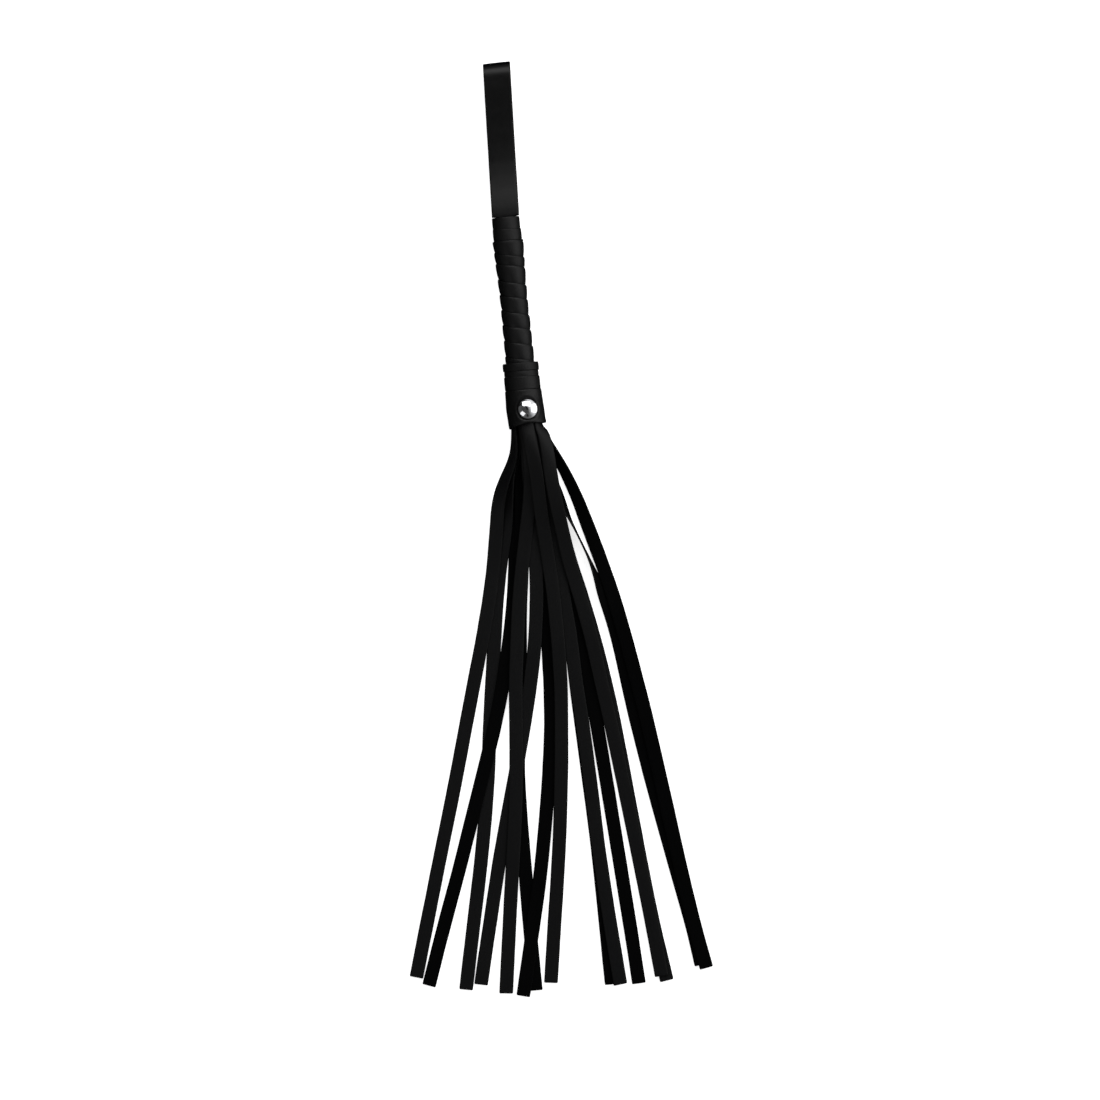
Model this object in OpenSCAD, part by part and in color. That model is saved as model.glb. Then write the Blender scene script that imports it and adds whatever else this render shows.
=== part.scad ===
// Short leather whip: a wrapped wooden handle with a wrist loop at the butt,
// a riveted collar at the mouth and fifteen flat leather tails.
// The handle lies along Y, wrist loop towards +Y, tails towards -Y, and the
// whole thing rests on its back on the floor (z = 0).

/* [Handle] */
// Distance from the floor up to the axis of the handle
axis_h = 11.15; // [11:0.05:12]
// Length of the wooden core, mouth end to butt end
core_len = 119.5; // [110:0.5:130]
// Radius of the spigot that the tail roots lie around
spigot_r = 5.1; // [4.6:0.1:5.2]
// Thickness of the spiral grip leather
wrap_t = 1.4; // [1:0.1:1.8]
// Pitch of the spiral grip wrap
wrap_pitch = 8.8; // [8:0.1:10]
// Clear gap left between one turn of the wrap and the next
wrap_gap = 0.1; // [0.05:0.05:0.3]

/* [Collar] */
// Length of the leather collar
collar_len = 20.4; // [18:0.2:24]
// Outside radius of the collar near the mouth
collar_r = 11.1; // [10.8:0.05:11.15]
// Inside radius of the collar, over the tail roots
collar_bore = 9.5; // [9.4:0.1:9.8]

/* [Rivet] */
// Distance of the rivet from the mouth
rivet_y = 9; // [7:0.5:12]
// Angle of the rivet about the handle, from +X
rivet_ang = 81; // [78:1:84]
// Radius of the dome of the rivet
dome_r = 5.7; // [4.5:0.1:6]
// Height of the dome above its rim
dome_h = 3; // [2:0.1:3.5]
// Radius of the shank of the nail
shank_r = 1; // [0.8:0.1:1.1]

/* [Wrist loop] */
// Width of the strap
strap_w = 15.9; // [12:0.1:18]
// Thickness of the strap
strap_t = 1.6; // [1.2:0.1:1.6]
// Width of the tongue bound under the butt band
tongue_w = 7; // [5:0.5:7]
// Sideways lean of the loop, mm per mm
loop_lean = 0.041; // [0:0.001:0.1]

/* [Tails] */
// Width of one tail
tail_w = 8; // [6:0.1:8.2]
// Thickness of one tail
tail_t = 1.1; // [0.8:0.05:1.1]
// Depth of the tail roots inside the collar
root_depth = 17; // [12:1:18]

/* [Hidden] */
// The origin is under the middle of the bounding box, on the floor.
origin_x = 11.96;
origin_y = 59.75;

LEATHER = [0.06, 0.06, 0.065];
LIGHTER = [0.11, 0.11, 0.12];
BACK = [0.035, 0.035, 0.037];

module place() { translate([origin_x, origin_y, axis_h]) children(); }
// Turn a solid of revolution so that its axis runs along +Y.
module along_y() { rotate([-90, 0, 0]) children(); }

// ---------------------------------------------------------------- handle
// Outside radius of the grip at a distance y from the mouth.
GRIP = [[20, 8.6], [36, 8.55], [50, 8.2], [73, 8.0], [85, 8.2], [96, 8.6], [107.2, 9.0]];
grip_y0 = 21;
grip_y1 = 107.2;
slot_w = 7.6;
slot_floor = 4;

module nail_axis() { translate([0, rivet_y, 0]) rotate([0, 90 - rivet_ang, 0]) children(); }

module handle_core() {
    pts = concat([[0, 0.2], [spigot_r, 0.2], [spigot_r, 20.6]],
                 [for (g = GRIP) [g[1] - wrap_t, max(g[0], 20.6)]],
                 [[7.15, 107.2], [7.15, core_len - 1], [6.15, core_len], [0, core_len]]);
    color("#8a6a45") place() difference() {
        along_y() rotate_extrude($fn = 96) polygon(pts);
        // flats for the two tongues of the wrist strap
        for (s = [-1, 1]) translate([-slot_w / 2, 107.3, s > 0 ? slot_floor : -slot_floor - 6])
            cube([slot_w, 14, 6]);
        nail_axis() translate([0, 0, 1.4]) cylinder(h = 12, r = shank_r, $fn = 48);
    }
}

// One lapped spiral strip: each turn is thicker at its upper edge, which lies
// over the lower edge of the turn that follows it up the handle.
wrap_n = 20;
wrap_turns = (grip_y1 - grip_y0 - 1) / wrap_pitch;
function wrap_in(y) = (lookup(y, GRIP) - wrap_t + 0.02) / cos(180 / wrap_n);
function wrap_ring(i) =
    let (a = 360 * i / wrap_n, y = grip_y0 + wrap_pitch * i / wrap_n, y0 = max(grip_y0, y),
         y1 = min(grip_y1, y + wrap_pitch - wrap_gap))
    [for (p = [[y0, wrap_in(y0)], [y1, wrap_in(y1)], [y1, lookup(y1, GRIP)], [y0, lookup(y0, GRIP) - 0.4]])
        [p[1] * cos(a), p[0], p[1] * sin(a)]];
module grip_wrap() {
    n = floor(wrap_turns * wrap_n);
    color(LIGHTER) place() sweep([for (i = [-17 : n]) wrap_ring(i)]);
}

// A thong wound twice round the butt, over the tongues of the strap.
module butt_band() {
    color(LEATHER) place() along_y() rotate_extrude($fn = 96)
        polygon([[7.15, 107.3], [8.05, 107.3], [8.25, 107.7], [8.25, 113.2], [7.95, 113.6], [7.85, 113.8],
                 [7.95, 114], [7.95, 120.2], [7.6, 120.7], [7.15, 120.7]]);
}

// A thong wound three times round the lower end of the grip.
module lower_band() {
    color(LIGHTER) place() along_y() rotate_extrude($fn = 96)
        polygon([[8.65, 20.6], [10.3, 20.6], [10.42, 21], [10.42, 27.6], [10.1, 28], [10.38, 28.4],
                 [10.38, 31.1], [10.0, 31.5], [10.2, 31.9], [10.15, 35.7], [9.8, 36.1], [8.65, 36.1]]);
}

module collar() {
    rim = rivet_rim;
    color(LEATHER) place() difference() {
        along_y() rotate_extrude($fn = 128)
            polygon([[collar_bore, 0], [collar_r - 0.4, 0], [collar_r - 0.05, 0.35], [collar_r, 1],
                     [collar_r, 9], [10.75, 15], [10.55, collar_len - 0.4], [10.3, collar_len],
                     [collar_bore, collar_len]]);
        nail_axis() cylinder(h = 14, r = shank_r, $fn = 48);
        // the rim of the dome is pressed into the leather
        nail_axis() translate([0, 0, rim]) difference() {
            cylinder(h = 3, r = dome_r + 0.02, $fn = 96);
            translate([0, 0, -1]) cylinder(h = 5, r = dome_r - 1.5, $fn = 96);
        }
    }
}

// ---------------------------------------------------------------- rivet
rivet_rim = collar_r - 0.75;
dome_R = (dome_r * dome_r + dome_h * dome_h) / (2 * dome_h);
module rivet_cap() {
    t = 0.5;
    color("silver") place() nail_axis() translate([0, 0, rivet_rim]) difference() {
        intersection() {
            translate([0, 0, dome_h - dome_R]) sphere(r = dome_R, $fn = 128);
            cylinder(h = dome_h + 1, r = dome_r + 1, $fn = 96);
        }
        difference() {
            translate([0, 0, dome_h - dome_R]) sphere(r = dome_R - t, $fn = 128);
            translate([0, 0, -20]) cylinder(h = 20, r = 20, $fn = 48);
        }
        translate([0, 0, -1]) cylinder(h = 1 + 0.3, r = dome_r - t, $fn = 96);
    }
}

module rivet_nail() {
    color("#8d8d92") place() nail_axis() rotate_extrude($fn = 48)
        polygon([[0, 1.5], [shank_r, 3.4], [shank_r, rivet_rim + dome_h - 1.6],
                 [2.2, rivet_rim + dome_h - 1.4], [2.2, rivet_rim + dome_h - 1.05], [0, rivet_rim + dome_h - 1.05]]);
}

// ---------------------------------------------------------------- sweeps
// One closed solid through a list of equal rings of points. Each ring runs
// along one side of the section and back along the other.
module sweep(rings) {
    n = len(rings);
    m = len(rings[0]);
    q = (n - 1) * m;
    polyhedron(
        points = [for (r = rings) each r],
        faces = concat(
            [for (j = [0 : m / 2 - 2], k = [0, 1]) k == 0 ? [m - 2 - j, j + 1, j] : [m - 1 - j, m - 2 - j, j]],
            [for (i = [0 : n - 2], j = [0 : m - 1], k = [0, 1]) let (a = i * m + j, b = i * m + (j + 1) % m)
                k == 0 ? [a, b, b + m] : [a, b + m, a + m]],
            [for (j = [0 : m / 2 - 2], k = [0, 1]) k == 0 ? [q + j, q + j + 1, q + m - 2 - j] : [q + j, q + m - 2 - j, q + m - 1 - j]]),
        convexity = 8);
}

// Mean of a table over a window about s, so that a route has no corners.
function column(pts, k) = [for (p = pts) [p[0], p[k]]];
function soft(s, tab, w) = let (q = max(0.01, w))
    (lookup(s - q, tab) + 2 * lookup(s - q * 0.6, tab) + 3 * lookup(s - q * 0.25, tab) + 3 * lookup(s, tab)
     + 3 * lookup(s + q * 0.25, tab) + 2 * lookup(s + q * 0.6, tab) + lookup(s + q, tab)) / 15;

// ---------------------------------------------------------------- wrist strap
// Route of the strap: [y, z about the handle's axis, width].
UPPER = [[108, 5.05, 0], [114, 5.05, 0], [120.9, 5.05, 0], [121.6, 5.05, 1], [126, 4.8, 1], [132, 4.0, 1], [138, 2.9, 1],
         [145, 1.9, 1], [153, 1.2, 1], [163, 0.8, 1], [175, 0.7, 1], [186, 0.8, 1], [196, 1.0, 1]];
LOWER = [[196, -10.35, 1], [185, -10.35, 1], [170, -10.35, 1], [155, -10.35, 1], [146, -10.2, 1], [139, -9.6, 1], [133, -8.5, 1],
         [127, -6.6, 1], [121.6, -5.3, 1], [120.9, -5.1, 0], [114, -5.05, 0], [108, -5.05, 0]];
fold_y = 204.5;
fold_r = (1.0 + 10.35) / 2;
STRAP = concat(UPPER,
    [for (a = [90 : -15 : -90]) [fold_y + fold_r * cos(a), -4.675 + fold_r * sin(a), 1]],
    LOWER);
function strap_ring(i) =
    let (n = len(STRAP), p = STRAP[i], a = STRAP[max(0, i - 1)], b = STRAP[min(n - 1, i + 1)],
         d = [b[0] - a[0], b[1] - a[1]], l = norm(d), ny = -d[1] / l, nz = d[0] / l,
         w = (p[2] > 0.5 ? strap_w : tongue_w) / 2, cx = loop_lean * max(0, p[0] - 119))
    [for (c = [[-w, -1], [w, -1], [w, 1], [-w, 1]])
        [cx + c[0], p[0] + ny * c[1] * strap_t / 2, p[1] + nz * c[1] * strap_t / 2]];
module wrist_strap() {
    color(LEATHER) place() sweep([for (i = [0 : len(STRAP) - 1]) strap_ring(i)]);
}

// ---------------------------------------------------------------- tails
// Each tail: [angle of its root about the axis, radius of its root layer,
// length from the mouth, route]. A route point is [distance from the mouth,
// x, height of the middle of the leather above the floor, roll in degrees].
// Roll 0 lies grain side up, roll -180 lies grain side down.
T01 = [166, 8.6, 312.5, [[15, -9.0, 13.2, 58], [22, -11.4, 11.2, 52], [30, -15.8, 9, 43], [37, -19.2, 6.6, 31], [45, -21.4, 4.5, 20],
    [60, -23.8, 3.2, 5], [80, -27.4, 1.9, 0], [100, -32.1, 1.9, 0], [125, -39.2, 1.7, 0], [150, -46.8, 0.6, 0],
    [200, -61.5, 0.6, 0], [250, -77, 0.6, 0], [300, -92.3, 0.6, 0], [315, -96.8, 0.6, 0]]];
T02 = [176, 7.3, 322.5, [[15, -8.2, 8.5, 70], [30, -12.5, 6.2, 62], [45, -15.8, 3.2, 38], [60, -18.4, 1.9, 12], [80, -23.6, 0.6, 0],
    [100, -27.6, 0.6, 0], [125, -31.6, 0.6, 0], [150, -35.7, 0.6, 0], [175, -39.4, 0.6, 0], [200, -42.7, 0.6, 0],
    [225, -47, 0.6, 0], [250, -52, 0.6, 0], [275, -57.6, 0.6, 0], [300, -63.2, 0.6, 0], [325, -68.6, 0.6, 0]]];
T03 = [-139, 8.6, 318, [[15, -7.0, 2.2, -198], [30, -9.0, 1.4, -190], [45, -10.8, 0.6, -180], [60, -12.4, 0.6, -180],
    [80, -14.7, 0.6, -180], [100, -17.7, 0.6, -180], [125, -23, 0.7, -180], [140, -26.8, 1.8, -180], [150, -29.2, 1.9, -180],
    [175, -37, 1.9, -180], [200, -46, 1.9, -180], [225, -55, 1.9, -180], [250, -64, 0.8, -180], [275, -73.5, 0.6, -180],
    [300, -82.8, 0.6, -180], [320, -90, 0.6, -180]]];
T04 = [100, 7.3, 327, [[15, -0.2, 17.2, 6], [30, -0.6, 12.9, 2], [45, -2.8, 8.0, 0], [60, -6.2, 4.6, 0], [80, -10.6, 4.2, 0],
    [100, -14.6, 3.2, 0], [125, -18.3, 3.2, 0], [150, -21.7, 3.2, 0], [175, -23.9, 3.2, 0], [200, -26.3, 3.2, 0],
    [225, -29.5, 3.2, 0], [250, -33.4, 2.4, 0], [275, -37.3, 0.9, 0], [300, -41.1, 0.6, 0], [330, -45.6, 0.6, 0]]];
T05 = [104, 6.0, 320.5, [[15, -1.2, 14.7, 6], [30, -1.6, 10.5, 2], [45, -1.8, 6.3, 0], [60, -1.5, 3.2, 0], [80, -2.6, 3.2, 0],
    [100, -4.2, 3.2, 0], [125, -7.7, 3.1, 0], [138, -10.3, 3.0, 0], [150, -13, 2.2, 0], [175, -19.4, 1.9, 0], [200, -26.7, 1.9, 0],
    [225, -34.1, 1.9, 0], [250, -41.3, 0.9, 0], [275, -47.7, 0.6, 0], [300, -54.1, 0.6, 0], [322, -59.5, 0.6, 0]]];
T06 = [-154, 6.0, 327, [[15, -3.4, 7.4, -232], [30, -6, 5.4, -205], [45, -7.2, 3.0, -190], [60, -8.5, 1.9, -180], [80, -10.6, 1.9, -180],
    [100, -13.8, 1.9, -180], [113, -15.4, 1.9, -180], [125, -16.5, 2.0, -180], [134, -17.3, 2.0, -180], [143, -18.6, 1.3, -180], [152, -19.8, 0.6, -180],
    [175, -22.4, 0.6, -180], [200, -25.4, 0.6, -180],
    [225, -26.3, 0.6, -180], [250, -26.8, 0.6, -180], [300, -27.7, 0.6, -180], [330, -27.8, 0.6, -180]]];
T07 = [-84, 8.6, 329.5, [[8, 0.5, 1.4, -177], [16, 0.6, 0.8, -178], [30, 1.3, 0.6, -180], [60, 1.3, 0.6, -180], [80, 0.9, 0.6, -180],
    [100, 0.4, 0.6, -180], [125, -0.4, 0.6, -180], [150, -1.4, 0.6, -180], [175, -3.5, 0.6, -180], [200, -7, 0.6, -180],
    [225, -11.4, 0.6, -180], [250, -16.2, 0.7, -180], [270, -20.6, 1.8, -180], [285, -24.4, 1.9, -180], [300, -28.1, 1.9, -180], [330, -35.6, 1.8, -180]]];
T08 = [88, 8.6, 323.5, [[6, 0.7, 20.6, 0], [12, 1.2, 21.2, 0], [18, 1.8, 20.3, 0], [24, 2.3, 18.4, 0], [31, 2.8, 15.8, 0], [45, 3, 11.5, 0], [60, 3.6, 6.8, 0], [80, 4.8, 4.5, 0],
    [100, 5.6, 4.5, 0], [125, 5.5, 4.6, 0], [137, 5.2, 4.0, 0], [150, 4.8, 2.4, 0], [175, 2.6, 1.9, 0], [200, 0, 1.9, 0], [225, -3.1, 1.8, 0],
    [250, -6.6, 0.7, 0], [275, -10.7, 0.6, 0], [300, -14.9, 0.6, 0], [325, -18.9, 0.6, 0]]];
T09 = [24, 6.0, 328.5, [[15, 6.0, 12.8, -50], [30, 7.2, 11.8, -18], [45, 7.7, 8.9, -4], [60, 8.3, 4.5, 0], [80, 10.5, 3.2, 0],
    [100, 11.3, 3.2, 0], [125, 13, 3.2, 0], [150, 13.3, 2.9, 0], [175, 14.8, 1.9, 0], [200, 15.7, 1.9, 0], [250, 16.8, 1.9, 0],
    [275, 18, 1.9, 0], [300, 19.5, 1.9, 0], [330, 21.5, 1.8, 0]]];
T10 = [-34, 7.3, 328, [[15, 8.4, 8.3, -142], [30, 7.6, 7.4, -168], [45, 8, 5.6, -176], [60, 10.5, 1.2, -180], [80, 11.5, 0.6, -180],
    [100, 12, 0.6, -180], [125, 13, 0.6, -180], [150, 13.3, 0.6, -180], [175, 14, 0.6, -180], [200, 14.8, 0.6, -180],
    [225, 15.7, 0.6, -180], [250, 16.3, 0.6, -180], [300, 16.4, 0.6, -180], [330, 16.3, 0.6, -180]]];
T11 = [-64, 6.0, 329, [[15, 3.2, 8.8, -165], [30, 5.4, 9.2, -175], [45, 7.2, 7.2, -178], [60, 11.3, 2.7, -180], [80, 14, 1.9, -180],
    [100, 17, 1.9, -180], [125, 19.2, 1.9, -180], [150, 21, 1.7, -180], [175, 22.9, 0.6, -180], [200, 24.6, 0.6, -180],
    [250, 27.7, 0.6, -180], [300, 30.7, 0.6, -180], [330, 32.2, 0.6, -180]]];
T12 = [34, 7.3, 329, [[15, 8.4, 14.5, -38], [30, 10.8, 13.6, -16], [45, 12, 10.4, -4], [53, 13, 9.4, 0], [62, 14.2, 6.6, 0], [80, 16.8, 4.5, 0],
    [100, 21.4, 3.2, 0], [125, 26.3, 3.1, 0], [150, 30.1, 1.4, 0], [175, 33, 0.6, 0], [200, 35.3, 0.6, 0], [225, 37.4, 0.6, 0],
    [250, 39.5, 0.6, 0], [275, 41.8, 0.6, 0], [300, 44.5, 0.6, 0], [330, 48.6, 0.6, 0]]];
T13 = [32, 8.6, 326, [[5, 9.3, 16.5, -36], [10, 10.2, 17.2, -22], [15, 10.6, 17.4, -17], [22, 10.8, 16.8, -13], [30, 11.0, 15.4, -10], [45, 12.3, 12, -4], [53, 13.2, 10.8, 0], [62, 14.4, 8, 0],
    [80, 16.2, 5.8, 0], [100, 20.4, 4.6, 0], [125, 24.8, 4.4, 0], [150, 27.7, 3.1, 0], [175, 30.9, 1.9, 0], [200, 33.6, 1.9, 0],
    [250, 38.8, 1.9, 0], [300, 43.6, 1.9, 0], [330, 46, 1.8, 0]]];
T14 = [-104, 7.3, 322, [[8, -0.8, 3.2, -193], [16, 3.2, 2.6, -190], [30, 8.8, 2, -194], [38, 12.6, 2.6, -212], [46, 15.8, 4.0, -238], [57, 19.4, 4.7, -264], [66, 23, 4.7, -270],
    [80, 28.2, 4.6, -268], [92, 31.4, 4.3, -250], [100, 33.7, 3.2, -220], [108, 36.2, 2.0, -200], [120, 38.9, 0.7, -182],
    [135, 41, 0.6, -180], [150, 42.7, 0.6, -180], [175, 45.7, 0.6, -180], [200, 49.3, 0.6, -180], [225, 53.4, 0.6, -180],
    [250, 57.6, 0.6, -180], [275, 62.1, 0.6, -180], [300, 66.5, 0.6, -180], [325, 69.6, 0.6, -180]]];
T15 = [-26, 8.6, 324, [[15, 13.4, 6, -130], [30, 19.8, 3.6, -138], [45, 25.0, 2.7, -148], [60, 29.0, 1.7, -165], [80, 34.4, 1.5, -180],
    [92, 37.3, 2.6, -184], [100, 39.2, 3.1, -186], [108, 40.9, 3.0, -184], [120, 43.2, 2.2, -180], [135, 45.8, 1.9, -180],
    [150, 48.2, 1.9, -180], [175, 51.9, 1.9, -180], [200, 55.1, 1.9, -180], [225, 58.2, 1.9, -180], [250, 61.2, 1.9, -180],
    [275, 64.3, 1.9, -180], [300, 67.8, 1.9, -180], [325, 72.2, 1.8, -180]]];

// The route with the root put in front: straight inside the collar.
function whole(t) = let (x = t[1] * cos(t[0]), z = axis_h + t[1] * sin(t[0]), r = t[0] - 90)
    concat([[-root_depth, x, z, r], [1.5, x, z, r]], t[3]);
// How strongly the strip is still curved to the root, 1 inside the collar.
function curl(s) = s < 1 ? 1 : s > 32 ? 0 : pow(cos((s - 1) * 90 / 31), 1.5);

function tail_at(t, s, tabs) =
    let (w = min(s < 8 ? 3 : s < 30 ? 7 : s < 60 ? 9 : 14, t[2] - s, s + root_depth))
    [soft(s, tabs[0], w), -s, soft(s, tabs[1], w) - axis_h];

function tail_ring(t, s, tabs) =
    let (p = tail_at(t, s, tabs),
         a = tail_at(t, max(-root_depth, s - 1), tabs), b = tail_at(t, min(t[2], s + 1), tabs),
         T = (b - a) / norm(b - a),
         w0 = cross([0, 0, 1], T), W0 = w0 / norm(w0), N0 = cross(T, W0),
         roll = soft(s, tabs[2], s < 8 ? 2 : 6),
         W = W0 * cos(roll) + N0 * sin(roll), N = N0 * cos(roll) - W0 * sin(roll),
         k = curl(s) / t[1], h = tail_t / 2)
    [for (e = [[-1, -1], [-0.5, -1], [0, -1], [0.5, -1], [1, -1], [1, 1], [0.5, 1], [0, 1], [-0.5, 1], [-1, 1]])
        let (u = e[0] * tail_w / 2, v = e[1] * h)
        k < 0.004 ? p + W * u + N * v
                  : p + W * ((1 / k + v) * sin(u * k * 180 / PI)) + N * ((1 / k + v) * cos(u * k * 180 / PI) - 1 / k)];

TAIL_S = [0, 3, 6, 10, 14, 18, 22, 26, 31, 36, 41, 46, 52, 58, 65, 73, 82, 90, 98, 106, 115, 126, 138, 151, 165, 180, 196, 213, 231, 250, 270, 291];
module tail(t) {
    tabs = [column(whole(t), 1), column(whole(t), 2), column(whole(t), 3)];
    place() sweep([for (s = concat([-root_depth, -root_depth / 2], TAIL_S, [t[2] - 12, t[2]])) tail_ring(t, s, tabs)]);
}
// A tail whose root is pierced by the nail.
module pierced_tail(t) {
    difference() {
        tail(t);
        place() nail_axis() cylinder(h = 14, r = shank_r + 0.35, $fn = 32);
    }
}

module tail_01() { color(LIGHTER) tail(T01); }
module tail_02() { color(LIGHTER) tail(T02); }
module tail_03() { color(BACK) tail(T03); }
module tail_04() { color(LIGHTER) pierced_tail(T04); }
module tail_05() { color(LIGHTER) pierced_tail(T05); }
module tail_06() { color(BACK) tail(T06); }
module tail_07() { color(BACK) tail(T07); }
module tail_08() { color(LIGHTER) pierced_tail(T08); }
module tail_09() { color(LIGHTER) tail(T09); }
module tail_10() { color(BACK) tail(T10); }
module tail_11() { color(BACK) tail(T11); }
module tail_12() { color(LIGHTER) tail(T12); }
module tail_13() { color(LIGHTER) tail(T13); }
module tail_14() { color(BACK) tail(T14); }
module tail_15() { color(BACK) tail(T15); }

handle_core();
grip_wrap();
butt_band();
lower_band();
collar();
rivet_nail();
rivet_cap();
wrist_strap();
tail_01();
tail_02();
tail_03();
tail_04();
tail_05();
tail_06();
tail_07();
tail_08();
tail_09();
tail_10();
tail_11();
tail_12();
tail_13();
tail_14();
tail_15();
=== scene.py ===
import math

import bpy
import numpy as np
from mathutils import Matrix, Vector


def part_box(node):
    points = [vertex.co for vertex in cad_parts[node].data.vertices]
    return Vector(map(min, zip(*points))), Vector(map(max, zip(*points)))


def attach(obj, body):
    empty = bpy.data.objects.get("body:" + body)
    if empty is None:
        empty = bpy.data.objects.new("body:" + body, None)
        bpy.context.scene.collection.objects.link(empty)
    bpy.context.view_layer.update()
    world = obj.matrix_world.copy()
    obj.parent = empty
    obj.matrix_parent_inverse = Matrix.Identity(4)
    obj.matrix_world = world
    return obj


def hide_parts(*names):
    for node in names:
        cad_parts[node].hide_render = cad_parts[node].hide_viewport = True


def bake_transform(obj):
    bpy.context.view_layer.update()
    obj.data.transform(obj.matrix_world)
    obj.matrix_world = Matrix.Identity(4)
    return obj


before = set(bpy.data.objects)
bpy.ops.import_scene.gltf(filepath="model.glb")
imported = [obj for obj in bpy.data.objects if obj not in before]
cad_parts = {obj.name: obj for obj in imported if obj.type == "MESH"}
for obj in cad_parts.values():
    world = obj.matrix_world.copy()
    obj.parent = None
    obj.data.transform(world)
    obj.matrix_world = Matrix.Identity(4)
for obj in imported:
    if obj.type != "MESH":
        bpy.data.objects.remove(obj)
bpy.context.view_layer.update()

MM = 0.001

# The mouth of the handle: the middle of the collar's lower rim, in millimetres.
_lo, _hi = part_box("collar")
OX, OY, OZ = (_lo.x + _hi.x) * 500, _lo.y * 1000, (_lo.z + _hi.z) * 500
MOUTH = np.array([OX, OY, OZ])


# ------------------------------------------------------------------ camera
scene = bpy.context.scene
cam_data = bpy.data.cameras.new("camera")
cam_data.lens = 360
cam_data.sensor_width = 36
cam_data.clip_start = 0.05
cam_data.clip_end = 40
camera = bpy.data.objects.new("camera", cam_data)
scene.collection.objects.link(camera)
up = Vector((0.10105, 0.99488, 0)).normalized()
right = Vector((up.y, -up.x, 0))
eye = Vector((0.01814, -0.01375, 6.385))
camera.matrix_world = Matrix((
    (right.x, up.x, 0, eye.x), (right.y, up.y, 0, eye.y), (0, 0, 1, eye.z), (0, 0, 0, 1)))
scene.camera = camera


# ------------------------------------------------------------------ materials
def new_material(name):
    m = bpy.data.materials.new(name)
    m.use_nodes = True
    tree = m.node_tree
    tree.nodes.clear()
    out = tree.nodes.new("ShaderNodeOutputMaterial")
    bsdf = tree.nodes.new("ShaderNodeBsdfPrincipled")
    tree.links.new(bsdf.outputs["BSDF"], out.inputs["Surface"])
    return m, tree, bsdf


class Nodes:
    def __init__(self, tree):
        self.t = tree

    def add(self, kind, **values):
        n = self.t.nodes.new(kind)
        for k, v in values.items():
            setattr(n, k, v)
        return n

    def link(self, a, b):
        self.t.links.new(a, b)
        return b

    def put(self, socket, value):
        if isinstance(value, bpy.types.NodeSocket):
            self.t.links.new(value, socket)
        else:
            socket.default_value = value

    def coords(self, kind="uv", scale=(1, 1, 1), rotate=0.0):
        """Texture coordinates in metres: the piece's own flat layout, or its place at rest."""
        if kind == "uv":
            src = self.add("ShaderNodeUVMap", uv_map="metres").outputs["UV"]
        else:
            src = self.add("ShaderNodeTexCoord").outputs["Object"]
        m = self.add("ShaderNodeMapping")
        self.link(src, m.inputs["Vector"])
        m.inputs["Scale"].default_value = scale
        m.inputs["Rotation"].default_value = (0, 0, rotate)
        return m.outputs["Vector"]

    def noise(self, vec, scale, detail=3.0, rough=0.5, distort=0.0):
        n = self.add("ShaderNodeTexNoise")
        self.link(vec, n.inputs["Vector"])
        n.inputs["Scale"].default_value = scale
        n.inputs["Detail"].default_value = detail
        n.inputs["Roughness"].default_value = rough
        n.inputs["Distortion"].default_value = distort
        return n.outputs["Fac"]

    def voronoi(self, vec, scale, feature="F1", smooth=None, random=1.0):
        n = self.add("ShaderNodeTexVoronoi", feature=feature)
        self.link(vec, n.inputs["Vector"])
        n.inputs["Scale"].default_value = scale
        n.inputs["Randomness"].default_value = random
        if smooth is not None:
            n.inputs["Smoothness"].default_value = smooth
        return n.outputs["Distance"]

    def remap(self, value, a, b, c, d, kind="LINEAR"):
        n = self.add("ShaderNodeMapRange", interpolation_type=kind)
        self.link(value, n.inputs["Value"])
        for k, v in (("From Min", a), ("From Max", b), ("To Min", c), ("To Max", d)):
            n.inputs[k].default_value = v
        return n.outputs["Result"]

    def math(self, op, a, b=None, c=None):
        n = self.add("ShaderNodeMath", operation=op)
        for i, v in enumerate((a, b, c)):
            if v is not None:
                self.put(n.inputs[i], v)
        return n.outputs["Value"]

    def mix(self, fac, a, b):
        n = self.add("ShaderNodeMix", data_type="RGBA")
        self.put(n.inputs["Factor"], fac)
        self.put([s for s in n.inputs if s.name == "A" and s.type == "RGBA"][0], a)
        self.put([s for s in n.inputs if s.name == "B" and s.type == "RGBA"][0], b)
        return [s for s in n.outputs if s.type == "RGBA"][0]

    def bump(self, height, distance, strength=1.0, normal=None):
        n = self.add("ShaderNodeBump")
        self.link(height, n.inputs["Height"])
        n.inputs["Distance"].default_value = distance
        n.inputs["Strength"].default_value = strength
        if normal is not None:
            self.link(normal, n.inputs["Normal"])
        return n.outputs["Normal"]


def grey(v, tint=(1.0, 1.0, 1.0)):
    return (v * tint[0], v * tint[1], v * tint[2], 1)


BLUE_BLACK = (0.97, 0.99, 1.06)


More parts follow.
